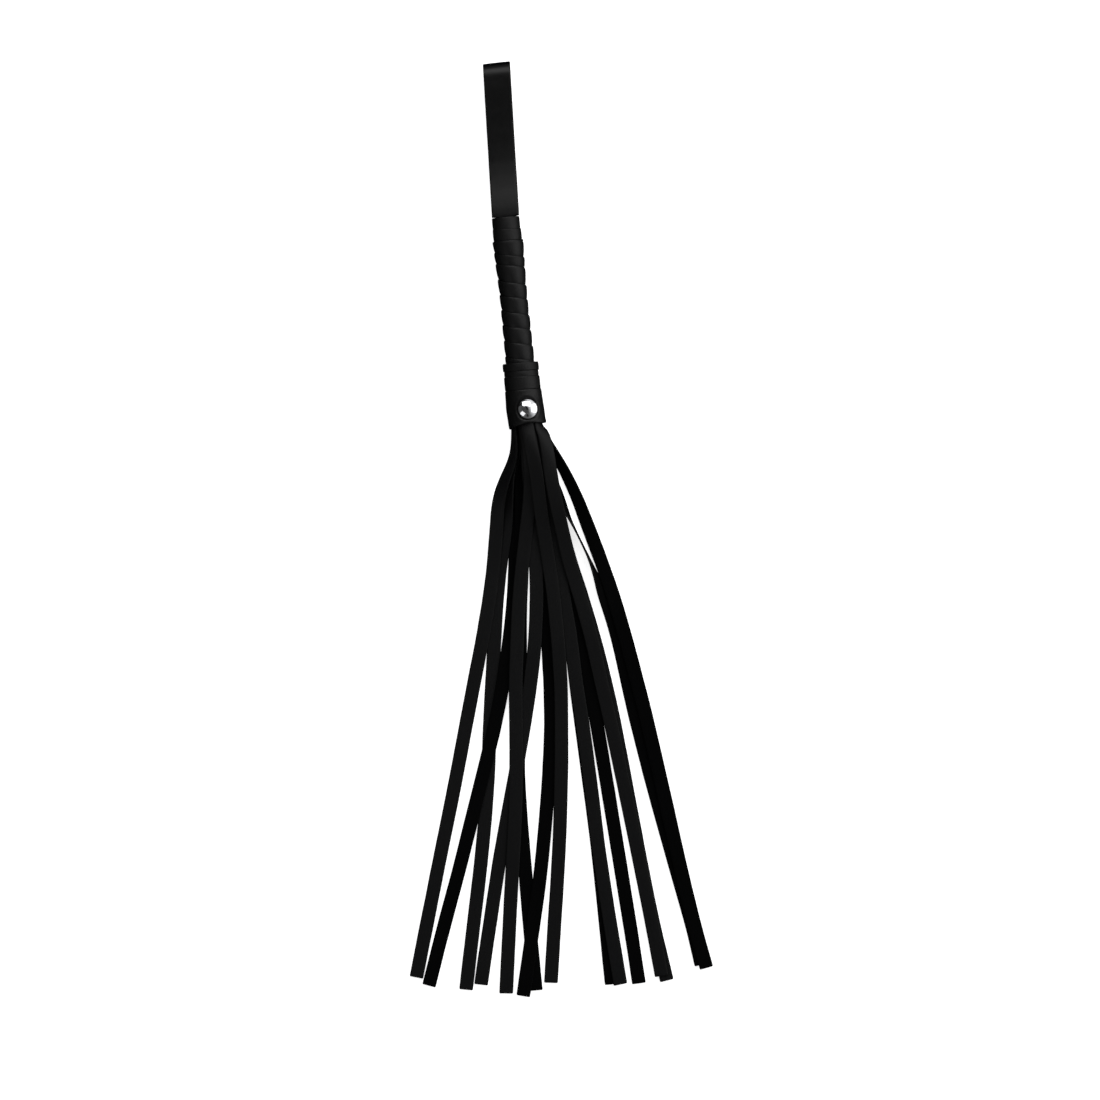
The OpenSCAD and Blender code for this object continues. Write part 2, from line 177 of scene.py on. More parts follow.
def grain_leather(name, low, high, rough, spec, cell=0.00055, depth=0.00002, crease=0.0, edge=None,
                  kind="uv", sheen=0.0, coat=0.0, fleck=0.0):
    """Dyed grain leather: pebbled cells, pores, stretch lines along the strip, cloudy dye, and a band of painted shade
    along the cut edges.
    """
    m, tree, bsdf = new_material(name)
    n = Nodes(tree)
    v = n.coords(kind)
    along = n.coords(kind, scale=(1, 0.22, 1) if kind == "uv" else (1, 0.3, 1))
    cloud = n.noise(along, 55, 4, 0.6)
    patch = n.noise(v, 260, 3, 0.55)
    cells = n.voronoi(v, 1 / cell, "SMOOTH_F1", smooth=0.35)
    pores = n.noise(v, 2.4 / cell, 2, 0.6)
    lines = n.noise(n.coords(kind, scale=(1, 0.035, 1)), 900, 2, 0.5)
    tone = n.math("ADD", n.math("MULTIPLY", cloud, 0.6), n.math("MULTIPLY", patch, 0.4))
    base = n.mix(n.remap(tone, 0.33, 0.68, 0, 1), grey(low, BLUE_BLACK), grey(high, BLUE_BLACK))
    # the colour is darker towards the borders of the grain cells
    cell_border_darkening = n.remap(cells, 0.15, 0.62, 0.0, 0.35)
    base = n.mix(cell_border_darkening, base, grey(low * 0.45, BLUE_BLACK))
    if fleck:
        dust = n.remap(n.noise(v, 1500, 1, 0.5), 0.72, 0.80, 0.0, fleck)
        base = n.mix(dust, base, grey(high * 4))
    rough_out = n.remap(tone, 0.3, 0.7, rough[1], rough[0])
    rough_out = n.math("ADD", rough_out, n.math("MULTIPLY", n.math("SUBTRACT", pores, 0.5), 0.14))
    if edge is not None:
        # edge = (half width, band, darkening): the grain side is pressed down towards the cut edge, and the band along
        # it is painted shade, darker and a little rougher
        uvn = n.add("ShaderNodeUVMap", uv_map="metres").outputs["UV"]
        sep = n.add("ShaderNodeSeparateXYZ")
        n.link(uvn, sep.inputs["Vector"])
        across = n.math("ABSOLUTE", sep.outputs["X"])
        wob = n.math("MULTIPLY", n.math("SUBTRACT", n.noise(v, 400, 2, 0.5), 0.5), edge[1] * 0.7)
        across = n.math("ADD", across, wob)
        band = n.remap(across, edge[0] - edge[1], edge[0] - edge[1] * 0.25, 0.0, edge[2], "SMOOTHSTEP")
        # painted shade: the colour is darkened in the band along each cut edge
        base = n.mix(band, base, grey(low * 0.35, BLUE_BLACK))
        rough_out = n.math("ADD", rough_out, n.math("MULTIPLY", band, 0.22))
    n.put(bsdf.inputs["Base Color"], base)
    n.put(bsdf.inputs["Roughness"], rough_out)
    bsdf.inputs["Specular IOR Level"].default_value = spec
    bsdf.inputs["Sheen Weight"].default_value = sheen
    bsdf.inputs["Sheen Roughness"].default_value = 0.45
    bsdf.inputs["Coat Weight"].default_value = coat
    bsdf.inputs["Coat Roughness"].default_value = 0.35
    normal = n.bump(cells, depth, 0.9)
    normal = n.bump(pores, depth * 0.5, 0.8, normal)
    normal = n.bump(lines, depth * 0.9, 0.5, normal)
    normal = n.bump(n.noise(along, 120, 3, 0.5), 0.00022, 0.55, normal)
    if crease:
        fold = n.voronoi(n.coords(kind, scale=(0.35, 1, 1)), 420, "DISTANCE_TO_EDGE")
        normal = n.bump(n.remap(fold, 0.0, 0.09, 0, 1), 0.00008, crease, normal)
    n.put(bsdf.inputs["Normal"], normal)
    return m


def napped_leather(name, low, high, rough, spec, sheen, fibre=0.00030, kind="uv"):
    """The flesh side: short matted fibres, brushed mostly along the strip."""
    m, tree, bsdf = new_material(name)
    n = Nodes(tree)
    v = n.coords(kind)
    brushed = n.coords(kind, scale=(1, 0.28, 1), rotate=0.12)
    fibres = n.noise(brushed, 1 / fibre, 4, 0.72, 0.6)
    mat_ = n.noise(n.coords(kind, scale=(1, 0.6, 1), rotate=-0.35), 0.45 / fibre, 3, 0.65, 1.0)
    cloud = n.noise(n.coords(kind, scale=(1, 0.35, 1)), 75, 4, 0.6)
    tone = n.math("ADD", n.math("MULTIPLY", fibres, 0.45), n.math("MULTIPLY", cloud, 0.55))
    base = n.mix(n.remap(tone, 0.36, 0.66, 0, 1), grey(low, BLUE_BLACK), grey(high, BLUE_BLACK))
    lint = n.remap(n.noise(v, 2100, 1, 0.5), 0.74, 0.82, 0, 0.5)
    base = n.mix(lint, base, grey(high * 3.0))
    n.put(bsdf.inputs["Base Color"], base)
    n.put(bsdf.inputs["Roughness"], n.remap(fibres, 0.3, 0.7, rough[0], rough[1]))
    bsdf.inputs["Specular IOR Level"].default_value = spec
    bsdf.inputs["Sheen Weight"].default_value = sheen
    bsdf.inputs["Sheen Roughness"].default_value = 0.6
    normal = n.bump(fibres, 0.00006, 0.9)
    normal = n.bump(mat_, 0.00010, 0.7, normal)
    normal = n.bump(cloud, 0.0003, 0.4, normal)
    n.put(bsdf.inputs["Normal"], normal)
    return m


def cut_edge(name, low, high, rough=0.7, spec=0.2):
    """A knife-cut and dyed edge: fine layers running along the strip."""
    m, tree, bsdf = new_material(name)
    n = Nodes(tree)
    layers = n.noise(n.coords("uv", scale=(1, 0.06, 1)), 5200, 3, 0.6)
    fuzz = n.noise(n.coords("uv"), 3300, 3, 0.7)
    tone = n.math("ADD", n.math("MULTIPLY", layers, 0.6), n.math("MULTIPLY", fuzz, 0.4))
    n.put(bsdf.inputs["Base Color"], n.mix(n.remap(tone, 0.35, 0.68, 0, 1), grey(low, BLUE_BLACK), grey(high, BLUE_BLACK)))
    n.put(bsdf.inputs["Roughness"], n.remap(tone, 0.3, 0.7, rough + 0.1, rough - 0.08))
    bsdf.inputs["Specular IOR Level"].default_value = spec
    n.put(bsdf.inputs["Normal"], n.bump(fuzz, 0.00005, 0.8, n.bump(layers, 0.00007, 0.9)))
    return m


TAIL_GRAIN = grain_leather("tail_grain", 0.0022, 0.0036, (0.42, 0.54), 0.13, cell=0.0005, depth=0.000018,
                           edge=(0.0040, 0.0010, 0.8), fleck=0.25)
TAIL_BACK = napped_leather("tail_nap", 0.0007, 0.0013, (0.80, 0.95), 0.03, 0.0)
TAIL_EDGE = cut_edge("tail_cut_edge", 0.0010, 0.0030, 0.58, 0.18)
STRAP_GRAIN = grain_leather("strap_grain", 0.0008, 0.0015, (0.29, 0.38), 0.18, cell=0.0006, depth=0.00002,
                            edge=(0.00795, 0.0011, 0.6), fleck=0.2)
STRAP_BACK = napped_leather("strap_nap", 0.0009, 0.0017, (0.78, 0.92), 0.05, 0.0)
STRAP_EDGE = cut_edge("strap_cut_edge", 0.001, 0.0030, 0.6, 0.12)
GRIP_GRAIN = grain_leather("grip_grain", 0.0014, 0.0028, (0.44, 0.56), 0.20, cell=0.0007, depth=0.00003, crease=0.25,
                           fleck=0.2)
BAND_GRAIN = grain_leather("band_grain", 0.0014, 0.0028, (0.44, 0.56), 0.21, cell=0.0006, depth=0.000028, crease=0.2,
                           fleck=0.2)
COLLAR_GRAIN = grain_leather("collar_grain", 0.0012, 0.0024, (0.42, 0.54), 0.22, cell=0.0007, depth=0.00003, crease=0.3,
                             fleck=0.2)


def chrome(name):
    m, tree, bsdf = new_material(name)
    n = Nodes(tree)
    v = n.coords("object")
    smear = n.noise(v, 480, 4, 0.6)
    fine = n.noise(n.coords("object", scale=(1, 0.12, 0.4), rotate=0.5), 4200, 2, 0.5)
    n.put(bsdf.inputs["Base Color"], n.mix(n.remap(smear, 0.35, 0.7, 0, 1), (0.62, 0.63, 0.66, 1), (0.80, 0.80, 0.81, 1)))
    bsdf.inputs["Metallic"].default_value = 1.0
    n.put(bsdf.inputs["Roughness"], n.remap(n.math("ADD", n.math("MULTIPLY", smear, 0.6), n.math("MULTIPLY", fine, 0.4)),
                                            0.3, 0.7, 0.07, 0.17))
    n.put(bsdf.inputs["Normal"], n.bump(fine, 0.000002, 0.6, n.bump(smear, 0.00001, 0.5)))
    return m


def steel(name):
    m, tree, bsdf = new_material(name)
    n = Nodes(tree)
    v = n.coords("object")
    turned = n.noise(n.coords("object", scale=(1, 1, 0.1)), 5200, 3, 0.6)
    rust = n.noise(v, 900, 4, 0.7)
    n.put(bsdf.inputs["Base Color"], n.mix(n.remap(rust, 0.52, 0.72, 0, 0.7), (0.42, 0.42, 0.43, 1), (0.16, 0.12, 0.09, 1)))
    n.put(bsdf.inputs["Metallic"], n.remap(rust, 0.55, 0.75, 1.0, 0.5))
    n.put(bsdf.inputs["Roughness"], n.remap(turned, 0.3, 0.7, 0.25, 0.5))
    n.put(bsdf.inputs["Normal"], n.bump(turned, 0.000006, 0.8))
    return m


def wood(name):
    m, tree, bsdf = new_material(name)
    n = Nodes(tree)
    v = n.coords("object", scale=(1, 0.06, 1))
    wave = n.add("ShaderNodeTexWave", wave_type="RINGS", rings_direction="Y")
    n.link(v, wave.inputs["Vector"])
    wave.inputs["Scale"].default_value = 260
    wave.inputs["Distortion"].default_value = 3.0
    wave.inputs["Detail"].default_value = 3
    wave.inputs["Detail Scale"].default_value = 1.5
    fibre = n.noise(n.coords("object", scale=(1, 0.03, 1)), 3600, 4, 0.65)
    fac = n.math("ADD", n.math("MULTIPLY", wave.outputs["Fac"], 0.5), n.math("MULTIPLY", fibre, 0.5))
    n.put(bsdf.inputs["Base Color"], n.mix(fac, (0.010, 0.007, 0.005, 1), (0.030, 0.021, 0.015, 1)))  # darkened nearly to black, with the grain showing through
    n.put(bsdf.inputs["Roughness"], n.remap(fibre, 0.3, 0.7, 0.5, 0.72))
    bsdf.inputs["Specular IOR Level"].default_value = 0.4
    n.put(bsdf.inputs["Normal"], n.bump(fibre, 0.00004, 0.7))
    return m


CHROME = chrome("polished_metal")
STEEL = steel("nail_metal")
WOOD = wood("turned_wood")


# ------------------------------------------------------------------ meshes
def build(name, verts, faces, uvs, mats, mat_index, sharp=42):
    """A mesh in millimetres of the row frame. uvs: one list of (u, v) in millimetres for each face."""
    mesh = bpy.data.meshes.new(name)
    mesh.from_pydata((np.asarray(verts, float) * MM).tolist(), [], faces)
    layer = mesh.uv_layers.new(name="metres")
    flat = np.array([c for f in uvs for c in f], float) * MM
    layer.data.foreach_set("uv", flat.astype(np.float32).ravel())
    for m in mats:
        mesh.materials.append(m)
    mesh.polygons.foreach_set("material_index", np.array(mat_index, np.int32))
    mesh.polygons.foreach_set("use_smooth", np.ones(len(faces), bool))
    mesh.update()
    mesh.set_sharp_from_angle(angle=math.radians(sharp))
    mesh.validate()
    obj = bpy.data.objects.new(name, mesh)
    scene.collection.objects.link(obj)
    return obj


def loft(name, rings, s, u, mats, mat_of, around=True, ends=True, end_mat=0, sharp=42, wrap_length=False):
    """A skin through equal rings of points. s: place of each ring along the piece; u: place of each point
    round the ring, one more than the ring has where it is closed; mat_of: material of each strip of faces.
    wrap_length joins the last ring to the first."""
    rings = np.asarray(rings, float)
    n, m = rings.shape[:2]
    verts = rings.reshape(-1, 3)
    faces, uvs, idx = [], [], []
    last = n if wrap_length else n - 1
    for i in range(last):
        i2 = (i + 1) % n
        s0, s1 = s[i], s[i + 1]
        for j in range(m if around else m - 1):
            j2 = (j + 1) % m
            faces.append((i * m + j, i * m + j2, i2 * m + j2, i2 * m + j))
            uvs.append(((u[j], s0), (u[j + 1], s0), (u[j + 1], s1), (u[j], s1)))
            idx.append(mat_of[j])
    if ends and around and not wrap_length:
        faces.append(tuple(range(m - 1, -1, -1)))
        uvs.append([(u[j], s[0] - 0.3 * (j % 2)) for j in range(m - 1, -1, -1)])
        faces.append(tuple(range((n - 1) * m, n * m)))
        uvs.append([(u[j], s[n - 1] + 0.3 * (j % 2)) for j in range(m)])
        idx += [end_mat, end_mat]
    # the faces point outwards
    v = verts - verts.mean(0)
    vol = 0.0
    for f in faces:
        for k in range(1, len(f) - 1):
            a, b, c = v[f[0]], v[f[k]], v[f[k + 1]]
            vol += a[0] * (b[1] * c[2] - b[2] * c[1]) - a[1] * (b[0] * c[2] - b[2] * c[0]) + a[2] * (b[0] * c[1] - b[1] * c[0])
    if around and vol < 0:
        faces = [tuple(reversed(f)) for f in faces]
        uvs = [list(reversed(q)) for q in uvs]
    return build(name, verts, faces, uvs, mats, idx, sharp)


def band_noise(seed, length, step, count=6):
    """A smooth wavering about nought, of about unit size, along a length."""
    r = np.random.default_rng(seed)
    k = r.uniform(0.5, 1.5, count) * 2 * math.pi / step * np.linspace(0.4, 1.6, count)
    p = r.uniform(0, 2 * math.pi, count)
    a = 1 / np.linspace(1, 2.2, count)
    a /= np.sqrt((a * a).sum() / 2) * 1.6

    def f(s):
        s = np.asarray(s, float)
        return (a * np.sin(np.multiply.outer(s, k) + p)).sum(-1)
    return f


# ------------------------------------------------------------------ tails
TAIL_W, TAIL_T, ROOT = 8.0, 1.1, 17.0
# [angle of the root, radius of its layer, length from the mouth, [distance, x, height above the floor, roll]]
TAILS = {
    "01": [166, 8.6, 312.5, [[15, -9.0, 13.2, 58], [22, -11.4, 11.2, 52], [30, -15.8, 9, 43], [37, -19.2, 6.6, 31], [45, -21.4, 4.5, 20],
        [60, -23.8, 3.2, 5], [80, -27.4, 1.9, 0], [100, -32.1, 1.9, 0], [125, -39.2, 1.7, 0], [150, -46.8, 0.6, 0],
        [200, -61.5, 0.6, 0], [250, -77, 0.6, 0], [300, -92.3, 0.6, 0], [315, -96.8, 0.6, 0]]],
    "02": [176, 7.3, 322.5, [[15, -8.2, 8.5, 70], [30, -12.5, 6.2, 62], [45, -15.8, 3.2, 38], [60, -18.4, 1.9, 12], [80, -23.6, 0.6, 0],
        [100, -27.6, 0.6, 0], [125, -31.6, 0.6, 0], [150, -35.7, 0.6, 0], [175, -39.4, 0.6, 0], [200, -42.7, 0.6, 0],
        [225, -47, 0.6, 0], [250, -52, 0.6, 0], [275, -57.6, 0.6, 0], [300, -63.2, 0.6, 0], [325, -68.6, 0.6, 0]]],
    "03": [-139, 8.6, 318, [[15, -7.0, 2.2, -198], [30, -9.0, 1.4, -190], [45, -10.8, 0.6, -180], [60, -12.4, 0.6, -180],
        [80, -14.7, 0.6, -180], [100, -17.7, 0.6, -180], [125, -23, 0.7, -180], [140, -26.8, 1.8, -180], [150, -29.2, 1.9, -180],
        [175, -37, 1.9, -180], [200, -46, 1.9, -180], [225, -55, 1.9, -180], [250, -64, 0.8, -180], [275, -73.5, 0.6, -180],
        [300, -82.8, 0.6, -180], [320, -90, 0.6, -180]]],
    "04": [100, 7.3, 327, [[15, -0.2, 17.2, 6], [30, -0.6, 12.9, 2], [45, -2.8, 8.0, 0], [60, -6.2, 4.6, 0], [80, -10.6, 4.2, 0],
        [100, -14.6, 3.2, 0], [125, -18.3, 3.2, 0], [150, -21.7, 3.2, 0], [175, -23.9, 3.2, 0], [200, -26.3, 3.2, 0],
        [225, -29.5, 3.2, 0], [250, -33.4, 2.4, 0], [275, -37.3, 0.9, 0], [300, -41.1, 0.6, 0], [330, -45.6, 0.6, 0]]],
    "05": [104, 6.0, 320.5, [[15, -1.2, 14.7, 6], [30, -1.6, 10.5, 2], [45, -1.8, 6.3, 0], [60, -1.5, 3.2, 0], [80, -2.6, 3.2, 0],
        [100, -4.2, 3.2, 0], [125, -7.7, 3.1, 0], [138, -10.3, 3.0, 0], [150, -13, 2.2, 0], [175, -19.4, 1.9, 0], [200, -26.7, 1.9, 0],
        [225, -34.1, 1.9, 0], [250, -41.3, 0.9, 0], [275, -47.7, 0.6, 0], [300, -54.1, 0.6, 0], [322, -59.5, 0.6, 0]]],
    "06": [-154, 6.0, 327, [[15, -3.4, 7.4, -232], [30, -6, 5.4, -205], [45, -7.2, 3.0, -190], [60, -8.5, 1.9, -180], [80, -10.6, 1.9, -180],
        [100, -13.8, 1.9, -180], [113, -15.4, 1.9, -180], [125, -16.5, 2.0, -180], [134, -17.3, 2.0, -180], [143, -18.6, 1.3, -180], [152, -19.8, 0.6, -180],
        [175, -22.4, 0.6, -180], [200, -25.4, 0.6, -180],
        [225, -26.3, 0.6, -180], [250, -26.8, 0.6, -180], [300, -27.7, 0.6, -180], [330, -27.8, 0.6, -180]]],
    "07": [-84, 8.6, 329.5, [[8, 0.5, 1.4, -177], [16, 0.6, 0.8, -178], [30, 1.3, 0.6, -180], [60, 1.3, 0.6, -180], [80, 0.9, 0.6, -180],
        [100, 0.4, 0.6, -180], [125, -0.4, 0.6, -180], [150, -1.4, 0.6, -180], [175, -3.5, 0.6, -180], [200, -7, 0.6, -180],
        [225, -11.4, 0.6, -180], [250, -16.2, 0.7, -180], [270, -20.6, 1.8, -180], [285, -24.4, 1.9, -180], [300, -28.1, 1.9, -180], [330, -35.6, 1.8, -180]]],
    "08": [88, 8.6, 323.5, [[6, 0.7, 20.6, 0], [12, 1.2, 21.2, 0], [18, 1.8, 20.3, 0], [24, 2.3, 18.4, 0], [31, 2.8, 15.8, 0], [45, 3, 11.5, 0], [60, 3.6, 6.8, 0], [80, 4.8, 4.5, 0],
        [100, 5.6, 4.5, 0], [125, 5.5, 4.6, 0], [137, 5.2, 4.0, 0], [150, 4.8, 2.4, 0], [175, 2.6, 1.9, 0], [200, 0, 1.9, 0], [225, -3.1, 1.8, 0],
        [250, -6.6, 0.7, 0], [275, -10.7, 0.6, 0], [300, -14.9, 0.6, 0], [325, -18.9, 0.6, 0]]],
    "09": [24, 6.0, 328.5, [[15, 6.0, 12.8, -50], [30, 7.2, 11.8, -18], [45, 7.7, 8.9, -4], [60, 8.3, 4.5, 0], [80, 10.5, 3.2, 0],
        [100, 11.3, 3.2, 0], [125, 13, 3.2, 0], [150, 13.3, 2.9, 0], [175, 14.8, 1.9, 0], [200, 15.7, 1.9, 0], [250, 16.8, 1.9, 0],
        [275, 18, 1.9, 0], [300, 19.5, 1.9, 0], [330, 21.5, 1.8, 0]]],
    "10": [-34, 7.3, 328, [[15, 8.4, 8.3, -142], [30, 7.6, 7.4, -168], [45, 8, 5.6, -176], [60, 10.5, 1.2, -180], [80, 11.5, 0.6, -180],
        [100, 12, 0.6, -180], [125, 13, 0.6, -180], [150, 13.3, 0.6, -180], [175, 14, 0.6, -180], [200, 14.8, 0.6, -180],
        [225, 15.7, 0.6, -180], [250, 16.3, 0.6, -180], [300, 16.4, 0.6, -180], [330, 16.3, 0.6, -180]]],
    "11": [-64, 6.0, 329, [[15, 3.2, 8.8, -165], [30, 5.4, 9.2, -175], [45, 7.2, 7.2, -178], [60, 11.3, 2.7, -180], [80, 14, 1.9, -180],
        [100, 17, 1.9, -180], [125, 19.2, 1.9, -180], [150, 21, 1.7, -180], [175, 22.9, 0.6, -180], [200, 24.6, 0.6, -180],
        [250, 27.7, 0.6, -180], [300, 30.7, 0.6, -180], [330, 32.2, 0.6, -180]]],
    "12": [34, 7.3, 329, [[15, 8.4, 14.5, -38], [30, 10.8, 13.6, -16], [45, 12, 10.4, -4], [53, 13, 9.4, 0], [62, 14.2, 6.6, 0], [80, 16.8, 4.5, 0],
        [100, 21.4, 3.2, 0], [125, 26.3, 3.1, 0], [150, 30.1, 1.4, 0], [175, 33, 0.6, 0], [200, 35.3, 0.6, 0], [225, 37.4, 0.6, 0],
        [250, 39.5, 0.6, 0], [275, 41.8, 0.6, 0], [300, 44.5, 0.6, 0], [330, 48.6, 0.6, 0]]],
    "13": [32, 8.6, 326, [[5, 9.3, 16.5, -36], [10, 10.2, 17.2, -22], [15, 10.6, 17.4, -17], [22, 10.8, 16.8, -13], [30, 11.0, 15.4, -10], [45, 12.3, 12, -4], [53, 13.2, 10.8, 0], [62, 14.4, 8, 0],
        [80, 16.2, 5.8, 0], [100, 20.4, 4.6, 0], [125, 24.8, 4.4, 0], [150, 27.7, 3.1, 0], [175, 30.9, 1.9, 0], [200, 33.6, 1.9, 0],
        [250, 38.8, 1.9, 0], [300, 43.6, 1.9, 0], [330, 46, 1.8, 0]]],
    "14": [-104, 7.3, 322, [[8, -0.8, 3.2, -193], [16, 3.2, 2.6, -190], [30, 8.8, 2, -194], [38, 12.6, 2.6, -212], [46, 15.8, 4.0, -238], [57, 19.4, 4.7, -264], [66, 23, 4.7, -270],
        [80, 28.2, 4.6, -268], [92, 31.4, 4.3, -250], [100, 33.7, 3.2, -220], [108, 36.2, 2.0, -200], [120, 38.9, 0.7, -182],
        [135, 41, 0.6, -180], [150, 42.7, 0.6, -180], [175, 45.7, 0.6, -180], [200, 49.3, 0.6, -180], [225, 53.4, 0.6, -180],
        [250, 57.6, 0.6, -180], [275, 62.1, 0.6, -180], [300, 66.5, 0.6, -180], [325, 69.6, 0.6, -180]]],
    "15": [-26, 8.6, 324, [[15, 13.4, 6, -130], [30, 19.8, 3.6, -138], [45, 25.0, 2.7, -148], [60, 29.0, 1.7, -165], [80, 34.4, 1.5, -180],
        [92, 37.3, 2.6, -184], [100, 39.2, 3.1, -186], [108, 40.9, 3.0, -184], [120, 43.2, 2.2, -180], [135, 45.8, 1.9, -180],
        [150, 48.2, 1.9, -180], [175, 51.9, 1.9, -180], [200, 55.1, 1.9, -180], [225, 58.2, 1.9, -180], [250, 61.2, 1.9, -180],
        [275, 64.3, 1.9, -180], [300, 67.8, 1.9, -180], [325, 72.2, 1.8, -180]]],
}
DOWN = ("03", "06", "07", "10", "11", "14", "15")  # these lie grain side down


def softened(s, xs, ys, w):
    q = max(0.01, w)
    f = lambda t: float(np.interp(t, xs, ys))
    return (f(s - q) + 2 * f(s - 0.6 * q) + 3 * f(s - 0.25 * q) + 3 * f(s) + 3 * f(s + 0.25 * q)
            + 2 * f(s + 0.6 * q) + f(s + q)) / 15


class Route:
    """The middle line of one tail, and the frame of its section, as in the CAD model."""

    def __init__(self, key):
        self.phi, self.r, self.length, pts = TAILS[key]
        x0, z0 = self.r * math.cos(math.radians(self.phi)), OZ + self.r * math.sin(math.radians(self.phi))
        full = [[-ROOT, x0, z0, self.phi - 90], [1.5, x0, z0, self.phi - 90]] + pts
        self.s, self.x, self.z, self.roll = (np.array([p[k] for p in full], float) for k in range(4))

    def at(self, s):
        w = min(3 if s < 8 else 7 if s < 30 else 9 if s < 60 else 14, self.length - s, s + ROOT)
        return np.array([softened(s, self.s, self.x, w), -s, softened(s, self.s, self.z, w) - OZ])

    def frame(self, s):
        p = self.at(s)
        t = self.at(min(self.length, s + 1)) - self.at(max(-ROOT, s - 1))
        t /= np.linalg.norm(t)
        w0 = np.cross([0, 0, 1], t)
        w0 /= np.linalg.norm(w0)
        n0 = np.cross(t, w0)
        r = math.radians(softened(s, self.s, self.roll, 2 if s < 8 else 6))
        return p, t, w0 * math.cos(r) + n0 * math.sin(r), n0 * math.cos(r) - w0 * math.sin(r)

    def curl(self, s):
        if s < 1:
            return 1.0
        return 0.0 if s > 32 else math.cos(math.radians((s - 1) * 90 / 31)) ** 1.5


def strip_section(w, t):
    """Half of a strip's section from one edge to the other: grain side pressed down towards the cut edges."""
    h = t / 2
    top = [(-w, 0.12), (-w + 0.04, 0.30), (-w + 0.14, 0.42), (-w + 0.32, 0.50), (-w + 0.62, 0.545), (-w + 1.1, 0.565),
           (-w * 0.45, 0.57), (0, 0.57)]
    top = [(u, v / 0.55 * h) for u, v in top]
    top = top + [(-u, v) for u, v in reversed(top[:-1])]
    low = [(w, -0.34), (w - 0.07, -0.47), (w - 0.3, -0.54), (w * 0.5, -0.55), (0, -0.55)]
    low = [(u, v / 0.55 * h) for u, v in low]
    low = low + [(-u, v) for u, v in reversed(low[:-1])]
    return top, low


def make_tail(key):
    route = Route(key)
    L = route.length
    seed = int(key)
    rnd = np.random.default_rng(1000 + seed)
    stations = list(np.arange(-ROOT, L - 2.4, 2.4)) + [L - 1.6, L - 0.9, L - 0.5, L - 0.25, L - 0.1, L]
    left, right_ = band_noise(seed * 7 + 1, L, 34), band_noise(seed * 7 + 2, L, 34)
    wave, tilt = band_noise(seed * 7 + 3, L, 60), band_noise(seed * 7 + 4, L, 80)
    nick = band_noise(seed * 7 + 5, L, 9)
    skew = rnd.uniform(-0.035, 0.035)
    top, low = strip_section(TAIL_W / 2, TAIL_T)
    section = top + low
    m = len(section)
    rings, path = [], []
    for s in stations:
        p, t, w, n = route.frame(s)
        path.append(p)
        loose = max(0.0, min(1.0, (s - 20) / 30))
        tip = max(0.0, 1 - (L - s) / 0.9)
        lw = 1 + loose * (0.010 * float(left(s)) + 0.004 * float(nick(s)))
        rw = 1 + loose * (0.010 * float(right_(s)) + 0.004 * float(nick(s + 40)))
        a = math.radians(0.9 * float(tilt(s)) * loose)
        wv, nv = w * math.cos(a) + n * math.sin(a), n * math.cos(a) - w * math.sin(a)
        lift = 0.05 * float(wave(s)) * loose
        k = route.curl(s) / route.r
        ring = []
        for i, (u, v) in enumerate(section):
            u *= lw if u < 0 else rw
            cup = 0.05 * loose * (1 - (u / 4) ** 2) if i < len(top) else 0.05 * loose * (1 - (u / 4) ** 2)
            # rounded corners and edges at the cut end
            if tip > 0:
                shrink = 1 - 0.085 * tip ** 2.2
                u *= shrink
                v *= 1 - 0.42 * tip ** 2
            if k < 0.004:
                q = p + wv * u + nv * (v + cup + lift)
            else:
                q = p + w * ((1 / k + v) * math.sin(u * k)) + n * ((1 / k + v) * math.cos(u * k) - 1 / k) + nv * (cup + lift)
            q = q + t * (skew * u * max(0.0, 1 - (L - s) / 14) if s > L - 14 else 0.0)
            ring.append(q + MOUTH)
        rings.append(ring)
    us = [0.0]
    for i in range(m):
        a, b = section[i], section[(i + 1) % m]
        us.append(us[-1] + math.hypot(b[0] - a[0], b[1] - a[1]))
    us = np.array(us)
    us = us - us[len(top) // 2]
    nt = len(top)
    mat_of = [2 if (j < 1 or nt - 2 < j < nt + 1 or j >= m - 2) else 0 if j < nt - 1 else 1 for j in range(m)]
    obj = loft("strip_" + key, rings, stations, us, [TAIL_GRAIN, TAIL_BACK, TAIL_EDGE], mat_of, end_mat=2, sharp=50)
    obj.data.materials[0] = TAIL_GRAIN
    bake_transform(obj)
    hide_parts("tail_" + key)
    mouth = (route.at(0.0) + MOUTH) * MM
    return obj


for key in TAILS:
    make_tail(key)


# ------------------------------------------------------------------ wrist strap
STRAP_W, STRAP_T, TONGUE_W = 15.9, 1.6, 7.0
UPPER = [[108, 5.05], [114, 5.05], [120.9, 5.05], [121.6, 5.05], [126, 4.65], [132, 3.8], [138, 2.85],
         [145, 1.95], [153, 1.2], [163, 0.8], [175, 0.7], [186, 0.8], [196, 1.0]]
LOWER = [[196, -10.35], [185, -10.35], [170, -10.35], [155, -10.35], [146, -10.2], [139, -9.6], [133, -8.5],
         [127, -6.6], [121.6, -5.3], [120.9, -5.1], [114, -5.05], [108, -5.05]]
FOLD_Y, FOLD_R = 204.5, 5.675


